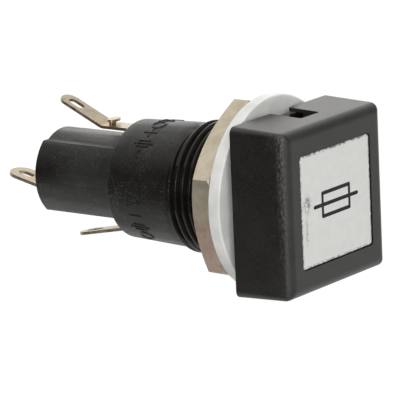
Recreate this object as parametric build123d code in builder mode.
"""Panel-mounted holder for one 5 x 20 mm cartridge fuse, with a square pull-out cap.

The holder's axis runs along Y. The cap and its label face -Y, the barrel and the solder lugs
point to +Y, and +Z is the top edge of the label. The origin is on the axis, in the plane of
the flange's rear seat, where the panel's front face lies.
"""

from build123d import *
import math
import os

# ---------------------------------------------------------------- driving dimensions (mm)
# threaded barrel and body
thread_r = 7.9              # crest of the M16 x 1 thread, as moulded
thread_root_r = 7.7         # relief groove that the nut runs over
thread_end_y = 11.26
thread_lead_in = 0.44       # chamfer at the thread's end
relief_y = (4.87, 5.72)
body_front_r = 7.46         # the large body's draft: wide at the thread, slim at the shoulder
body_rear_r = 7.08
shoulder_y = 20.4
core_r = 5.1                # rear body: a round core with two wide wings
wing_r = 5.75
wing_half_height = 4.25
rear_end_y = 32.1

# flange that the cap's skirt laps over
flange_size = 18.9
flange_thick = 1.3
flange_corner_r = 0.8

# bores and channels in the body
main_bore_r = 5.6
main_bore_end_y = 18.9
fuse_passage_r = 3.3
rear_wall_y = 30.4
channel_width = 2.8         # one channel above the main bore and one below, for the side contacts
channel_z = (4.9, 6.3)
channel_front_y = 7.2

# cap
cap_rear_size = 20.06
cap_depth = 7.55
cap_rear_y = -0.05
cap_draft_deg = 2.2
cap_corner_r = 0.85
cap_front_fillet = 1.2
skirt_size = 19.1           # pocket for the flange
skirt_depth = 1.95
cap_pocket_size = 15.8      # pocket for the carrier's head
cap_pocket_end_y = -5.6
label_width = 14.1
label_height = 13.2
label_thick = 0.5
label_recess = 0.12
label_gap = 0.1
notch_width = 3.8
notch_length = 4.3
notch_floor_z = 7.9

# carrier
neck_r = 5.52
carrier_head_size = 15.6
carrier_head_thick = 1.2
fuse_front_y = 6.3
rail_end_y = 17.0
rail_gap = 3.8
fuse_grip_r = 2.68
neck_bore_r = 3.6           # the hollow that the cap closes
neck_floor_thick = 1.6

# 5 x 20 mm cartridge fuse
fuse_length = 20.0
ferrule_r = 2.6
ferrule_wall = 0.18
ferrule_length = 5.4
tube_r = 2.36
tube_bore_r = 1.75
solder_thick = 0.6
wire_r = 0.09

# contacts and lugs
strip_width = 2.5
strip_thick = 0.36
strip_play = 0.1            # the slots in the shoulder are this much wider and taller
strip_z = 6.0
strip_front_y = 16.2
leaf_width = 2.2
leaf_thick = 0.25
lug_slot = (2.2, 1.15)
contact_gap = 0.04          # between a contact face and the fuse that it presses on
cup_r = 2.95
cup_wall = 0.35
cup_length = 0.95
spring_wire_r = 0.16
spring_mean_r = 1.9
spring_turns = 3.5
foot_thick = 0.4
foot_front_y = rear_wall_y - foot_thick
rear_tab_z = -2.65
rear_tab_width = 3.4
rear_tab_thick = 0.40
lug_slot_from_tip = 2.1

# washer and nut
washer_r = 11.5
washer_bore_r = 8.25
washer_y = (0.8, 2.36)
washer_lift = 0.2           # the washer rides this far above the axis on the loose thread
nut_corner_r = 11.66
nut_rear_face_r = 10.0      # the rear face's circle, where the 30 degree chamfer starts
nut_bore_r = 7.95
nut_y = (2.38, 5.62)
nut_turn_deg = 41.3

REARWARD = (0, 1, 0)
os.makedirs("parts", exist_ok=True)


def across(y):
    """The plane across the axis at this station: local x is +X, local y is +Z."""
    return Plane(origin=(0, y, 0), x_dir=(1, 0, 0), z_dir=(0, -1, 0))


def finish(piece, label):
    """Name the finished piece and write its STEP file."""
    piece.part.label = label
    export_step(piece.part, f"parts/{label}.step")
    print(f"{label:20s} {piece.part.volume:9.2f} mm3")


# ---------------------------------------------------------------- body moulding
with BuildPart() as holder_body:
    with BuildSketch(across(-flange_thick)):
        RectangleRounded(flange_size, flange_size, flange_corner_r)
    extrude(amount=flange_thick, dir=REARWARD)
    # threaded barrel and the large body behind it, turned in one profile
    with BuildSketch(Plane.YZ):
        with BuildLine():
            Polyline(
                (0, 0),
                (0, thread_r),
                (relief_y[0], thread_r),
                (relief_y[0], thread_root_r),
                (relief_y[1], thread_root_r),
                (relief_y[1], thread_r),
                (thread_end_y - thread_lead_in, thread_r),
                (thread_end_y, body_front_r),
                (shoulder_y, body_rear_r),
                (shoulder_y, 0),
                close=True,
            )
        make_face()
    revolve(axis=Axis.Y)
    shoulder_edge = (
        holder_body.edges()
        .filter_by(GeomType.CIRCLE)
        .group_by(Axis.Y)[-1]
    )
    fillet(shoulder_edge, 0.3)
    # slim rear body: a round core with wings cut flat above and below
    with BuildSketch(across(shoulder_y)):
        Circle(core_r)
    extrude(amount=rear_end_y - shoulder_y, dir=REARWARD)
    with BuildSketch(across(shoulder_y)):
        Circle(wing_r)
        Rectangle(2 * wing_r, 2 * wing_half_height, mode=Mode.INTERSECT)
    extrude(amount=rear_end_y - shoulder_y, dir=REARWARD)
    rear_rim = holder_body.faces().sort_by(Axis.Y)[-1].outer_wire().edges()
    fillet(rear_rim, 0.12)
    # bore for the carrier, then the passage for the fuse and the rear contact
    with BuildSketch(across(-flange_thick)):
        Circle(main_bore_r)
    extrude(amount=flange_thick + main_bore_end_y, dir=REARWARD, mode=Mode.SUBTRACT)
    with BuildSketch(across(main_bore_end_y)):
        Circle(fuse_passage_r)
    extrude(amount=rear_wall_y - main_bore_end_y, dir=REARWARD, mode=Mode.SUBTRACT)
    # one channel above and one below for the side contacts, open through the shoulder
    for side in (1, -1):
        with BuildSketch(across(channel_front_y)):
            with Locations((0, side * (channel_z[0] + channel_z[1]) / 2)):
                Rectangle(channel_width, channel_z[1] - channel_z[0])
        extrude(amount=main_bore_end_y - channel_front_y, dir=REARWARD, mode=Mode.SUBTRACT)
        with BuildSketch(across(main_bore_end_y - 0.1)):
            with Locations((0, side * strip_z)):
                Rectangle(strip_width + strip_play, strip_thick + strip_play)
        extrude(amount=shoulder_y - main_bore_end_y + 0.2, dir=REARWARD, mode=Mode.SUBTRACT)
    # slot in the rear wall for the rear lug's tab
    with BuildSketch(across(foot_front_y)):
        with Locations((0, rear_tab_z)):
            Rectangle(rear_tab_width + 0.2, rear_tab_thick + 0.12)
    extrude(amount=rear_end_y - foot_front_y + 0.1, dir=REARWARD, mode=Mode.SUBTRACT)
finish(holder_body, "holder_body")


# ---------------------------------------------------------------- cap and its label
cap_front_y = cap_rear_y - cap_depth
window_floor_y = cap_front_y + label_recess + label_thick
with BuildPart() as cap_shell:
    with BuildSketch(across(cap_rear_y)):
        RectangleRounded(cap_rear_size, cap_rear_size, cap_corner_r)
    extrude(amount=cap_depth, taper=cap_draft_deg)
    fillet(cap_shell.faces().sort_by(Axis.Y)[0].outer_wire().edges(), cap_front_fillet)
    with BuildSketch(across(cap_rear_y)):
        RectangleRounded(skirt_size, skirt_size, 0.6)
    extrude(amount=skirt_depth, mode=Mode.SUBTRACT)
    with BuildSketch(across(cap_rear_y)):
        RectangleRounded(cap_pocket_size, cap_pocket_size, 1.0)
    extrude(amount=cap_rear_y - cap_pocket_end_y, mode=Mode.SUBTRACT)
    # window in the front face for the label
    with BuildSketch(across(window_floor_y)):
        RectangleRounded(label_width + 2 * label_gap, label_height + 2 * label_gap, 0.5)
    extrude(amount=5, mode=Mode.SUBTRACT)
    # notch in the top wall, where a screwdriver prises the cap off
    with BuildSketch(Plane.XY.offset(notch_floor_z)):
        with Locations((0, cap_rear_y - notch_length / 2 + 0.5)):
            Rectangle(notch_width, notch_length + 1.0)
    extrude(amount=5, mode=Mode.SUBTRACT)
    notch_corners = (
        cap_shell.edges()
        .filter_by(Axis.Z)
        .filter_by(lambda e: abs(abs(e.center().X) - notch_width / 2) < 0.01)
        .group_by(Axis.Y)[0]
    )
    fillet(notch_corners, 0.3)
finish(cap_shell, "cap_shell")

with BuildPart() as label_plate:
    with BuildSketch(across(window_floor_y)):
        RectangleRounded(label_width, label_height, 0.45)
    extrude(amount=label_thick)
    fillet(label_plate.faces().sort_by(Axis.Y)[0].edges(), 0.1)
finish(label_plate, "label_plate")


# ---------------------------------------------------------------- fuse carrier
carrier_head_y = cap_pocket_end_y
with BuildPart() as fuse_carrier:
    with BuildSketch(across(carrier_head_y)):
        RectangleRounded(carrier_head_size, carrier_head_size, 0.9)
    extrude(amount=carrier_head_thick, dir=REARWARD)
    with BuildSketch(across(carrier_head_y)):
        Circle(neck_r)
    extrude(amount=rail_end_y - carrier_head_y, dir=REARWARD)
    # stepped lead at the mouth, so that the rails find the bore
    chamfer(fuse_carrier.faces().sort_by(Axis.Y)[-1].edges(), 0.4)
    # seat for the fuse, between two side rails
    with BuildSketch(across(fuse_front_y)):
        Circle(fuse_grip_r)
        Rectangle(rail_gap, 2 * neck_r + 1)
    extrude(amount=rail_end_y - fuse_front_y, dir=REARWARD, mode=Mode.SUBTRACT)
    # hollow neck, open to the front before the cap closes it
    with BuildSketch(across(carrier_head_y)):
        Circle(neck_bore_r)
    extrude(amount=fuse_front_y - neck_floor_thick - carrier_head_y, dir=REARWARD, mode=Mode.SUBTRACT)
finish(fuse_carrier, "fuse_carrier")


# ---------------------------------------------------------------- cartridge fuse
fuse_rear_y = fuse_front_y + fuse_length


def ferrule(closed_y, direction):
    """A drawn end cap: closed at closed_y, open towards direction (+1 is rearward)."""
    outline = [
        (closed_y, 0),
        (closed_y, ferrule_r),
        (closed_y + direction * ferrule_length, ferrule_r),
        (closed_y + direction * ferrule_length, tube_r),
        (closed_y + direction * 2 * ferrule_wall, tube_r),
        (closed_y + direction * 2 * ferrule_wall, 0),
    ]
    return outline


with BuildPart() as fuse_front_cap:
    with BuildSketch(Plane.YZ):
        with BuildLine():
            Polyline(*ferrule(fuse_front_y, 1), close=True)
        make_face()
    revolve(axis=Axis.Y)
    fillet(fuse_front_cap.edges().filter_by(GeomType.CIRCLE).group_by(Axis.Y)[0], 0.25)
finish(fuse_front_cap, "fuse_front_cap")

with BuildPart() as fuse_rear_cap:
    with BuildSketch(Plane.YZ):
        with BuildLine():
            Polyline(*ferrule(fuse_rear_y, -1), close=True)
        make_face()
    revolve(axis=Axis.Y)
    fillet(fuse_rear_cap.edges().filter_by(GeomType.CIRCLE).group_by(Axis.Y)[-1], 0.25)
finish(fuse_rear_cap, "fuse_rear_cap")

tube_start_y = fuse_front_y + 2 * ferrule_wall
tube_end_y = fuse_rear_y - 2 * ferrule_wall
with BuildPart() as fuse_glass_tube:
    with BuildSketch(across(tube_start_y)):
        Circle(tube_r)
        Circle(tube_bore_r, mode=Mode.SUBTRACT)
    extrude(amount=tube_end_y - tube_start_y, dir=REARWARD)
finish(fuse_glass_tube, "fuse_glass_tube")

with BuildPart() as fuse_solder:
    for start_y in (tube_start_y, tube_end_y - solder_thick):
        with BuildSketch(across(start_y)):
            Circle(tube_bore_r)
        extrude(amount=solder_thick, dir=REARWARD)
finish(fuse_solder, "fuse_solder")

with BuildPart() as fuse_wire:
    with BuildSketch(across(tube_start_y + solder_thick)):
        Circle(wire_r)
    extrude(amount=tube_end_y - tube_start_y - 2 * solder_thick, dir=REARWARD)
finish(fuse_wire, "fuse_wire")


# ---------------------------------------------------------------- side contacts and their lugs
def bent_plane(start, angle_deg, along):
    """A plane lying on a strip that leaves start at this angle, centred this far along it."""
    a = math.radians(angle_deg)
    middle = (0, start[0] + along * math.cos(a), start[1] + along * math.sin(a))
    return Plane(origin=middle, x_dir=(0, math.cos(a), math.sin(a)), z_dir=(0, -math.sin(a), math.cos(a)))


def tip_corners(piece):
    """The two short edges at a lug's rear tip."""
    tip = piece.faces().sort_by(Axis.Y)[-1]
    return tip.edges().filter_by(lambda e: e.length < strip_thick * 1.2)


ear_y = 24.4
ear_height = 0.90
ear_thick = 0.28
ear_half_width = 1.0
upper_bend = (25.2, strip_z)
upper_angle = 24.3
upper_tip_length = 7.1
upper_tip = (
    upper_bend[0] + upper_tip_length * math.cos(math.radians(upper_angle)),
    upper_bend[1] + upper_tip_length * math.sin(math.radians(upper_angle)),
)
with BuildPart() as upper_terminal:
    with BuildSketch(Plane.YZ):
        with BuildLine():
            FilletPolyline((strip_front_y, strip_z), upper_bend, upper_tip, radius=1.2)
        trace(line_width=strip_thick)
    extrude(amount=strip_width / 2, both=True)
    fillet(tip_corners(upper_terminal), 1.2)
    with BuildSketch(bent_plane(upper_bend, upper_angle, upper_tip_length - lug_slot_from_tip)):
        SlotOverall(*lug_slot)
    extrude(amount=1, both=True, mode=Mode.SUBTRACT)
    # ear lanced up out of the strip just in front of the bend: an oval head on a narrow stem
    with BuildSketch(Plane.XY.offset(strip_z)):
        with Locations((0, ear_y)):
            RectangleRounded(1.0, 0.4, 0.1)
    extrude(amount=ear_height)
    with BuildSketch(Plane.XY.offset(strip_z + ear_height - ear_thick)):
        with Locations((0, ear_y - 0.25)):
            Ellipse(ear_half_width, 0.6)
    extrude(amount=ear_thick)
finish(upper_terminal, "upper_terminal")

lower_bend = (21.4, -strip_z)
lower_angle = -11.2
lower_tip_length = 8.6
lower_tip = (
    lower_bend[0] + lower_tip_length * math.cos(math.radians(lower_angle)),
    lower_bend[1] + lower_tip_length * math.sin(math.radians(lower_angle)),
)
with BuildPart() as lower_terminal:
    with BuildSketch(Plane.YZ):
        with BuildLine():
            FilletPolyline((strip_front_y, -strip_z), lower_bend, lower_tip, radius=1.2)
        trace(line_width=strip_thick)
    extrude(amount=strip_width / 2, both=True)
    fillet(tip_corners(lower_terminal), 1.2)
    with BuildSketch(bent_plane(lower_bend, lower_angle, lower_tip_length - lug_slot_from_tip)):
        SlotOverall(*lug_slot)
    extrude(amount=1, both=True, mode=Mode.SUBTRACT)
finish(lower_terminal, "lower_terminal")

leaf_back_z = strip_z - strip_thick / 2 - leaf_thick / 2
leaf_touch_z = ferrule_r + contact_gap + leaf_thick / 2
leaf_route = [(18.7, leaf_back_z), (15.4, leaf_back_z), (9.6, leaf_touch_z), (8.6, leaf_touch_z), (7.5, 3.9)]
with BuildPart() as upper_leaf:
    with BuildSketch(Plane.YZ):
        with BuildLine():
            FilletPolyline(*leaf_route, radius=0.4)
        trace(line_width=leaf_thick)
    extrude(amount=leaf_width / 2, both=True)
finish(upper_leaf, "upper_contact_leaf")

with BuildPart() as lower_leaf:
    with BuildSketch(Plane.YZ):
        with BuildLine():
            FilletPolyline(*[(y, -z) for y, z in leaf_route], radius=0.4)
        trace(line_width=leaf_thick)
    extrude(amount=leaf_width / 2, both=True)
finish(lower_leaf, "lower_contact_leaf")


# ---------------------------------------------------------------- rear contact
cup_front_y = fuse_rear_y + contact_gap
with BuildPart() as rear_cup:
    with BuildSketch(Plane.YZ):
        with BuildLine():
            Polyline(
                (cup_front_y, 0),
                (cup_front_y, cup_r),
                (cup_front_y + cup_length, cup_r),
                (cup_front_y + cup_length, cup_r - cup_wall),
                (cup_front_y + cup_wall, cup_r - cup_wall),
                (cup_front_y + cup_wall, 0),
                close=True,
            )
        make_face()
    revolve(axis=Axis.Y)
    fillet(rear_cup.edges().filter_by(GeomType.CIRCLE).group_by(Axis.Y)[0], 0.2)
finish(rear_cup, "rear_contact_cup")

spring_start_y = cup_front_y + cup_wall + spring_wire_r
spring_end_y = foot_front_y - spring_wire_r
spring_length = spring_end_y - spring_start_y
with BuildPart() as contact_spring:
    with BuildLine() as coil_line:
        Helix(
            pitch=spring_length / spring_turns,
            height=spring_length,
            radius=spring_mean_r,
            center=(0, spring_start_y, 0),
            direction=REARWARD,
        )
    with BuildSketch(Plane(origin=coil_line.line @ 0, z_dir=coil_line.line % 0)):
        Circle(spring_wire_r)
    sweep(is_frenet=True)
finish(contact_spring, "contact_spring")

rear_bend_y = 32.5
rear_angle = 12.5
rear_tip_length = 7.75
rear_tip = (
    rear_bend_y + rear_tip_length * math.cos(math.radians(rear_angle)),
    rear_tab_z + rear_tip_length * math.sin(math.radians(rear_angle)),
)
with BuildPart() as rear_terminal:
    with BuildSketch(across(foot_front_y)):
        Circle(fuse_passage_r - 0.1)
    extrude(amount=foot_thick, dir=REARWARD)
    with BuildSketch(Plane.YZ):
        with BuildLine():
            FilletPolyline(
                (foot_front_y + 0.05, rear_tab_z), (rear_bend_y, rear_tab_z), rear_tip, radius=1.0
            )
        trace(line_width=rear_tab_thick)
    extrude(amount=rear_tab_width / 2, both=True)
    fillet(tip_corners(rear_terminal), 1.6)
    with BuildSketch(bent_plane((rear_bend_y, rear_tab_z), rear_angle, rear_tip_length - lug_slot_from_tip)):
        SlotOverall(*lug_slot)
    extrude(amount=1, both=True, mode=Mode.SUBTRACT)
finish(rear_terminal, "rear_terminal")


# ---------------------------------------------------------------- washer and nut
with BuildPart() as washer:
    with BuildSketch(across(washer_y[0])):
        with Locations((0, washer_lift)):
            Circle(washer_r)
            Circle(washer_bore_r, mode=Mode.SUBTRACT)
    extrude(amount=washer_y[1] - washer_y[0], dir=REARWARD)
    rims = washer.edges().filter_by(GeomType.CIRCLE).filter_by(lambda e: e.radius > washer_r - 0.1)
    fillet(rims, 0.15)
finish(washer, "nylon_washer")

nut_thick = nut_y[1] - nut_y[0]
front_bevel = 0.3
chamfer_depth = (nut_corner_r - nut_rear_face_r) * math.tan(math.radians(30))
with BuildPart() as nut:
    with BuildSketch(across(nut_y[0])):
        RegularPolygon(nut_corner_r, 6, rotation=nut_turn_deg)
        Circle(nut_bore_r, mode=Mode.SUBTRACT)
    extrude(amount=nut_thick, dir=REARWARD)
    # the corners are turned down, lightly in front and with the usual 30 degrees behind
    with BuildSketch(Plane.YZ):
        with BuildLine():
            Polyline(
                (nut_y[0], 0),
                (nut_y[0], nut_corner_r - 0.4),
                (nut_y[0] + front_bevel, nut_corner_r),
                (nut_y[1] - chamfer_depth, nut_corner_r),
                (nut_y[1], nut_rear_face_r),
                (nut_y[1], 0),
                close=True,
            )
        make_face()
    revolve(axis=Axis.Y, mode=Mode.INTERSECT)
    mouth = nut.edges().filter_by(GeomType.CIRCLE).filter_by(lambda e: e.radius < nut_bore_r + 0.1)
    chamfer(mouth, 0.3)
finish(nut, "hex_nut")
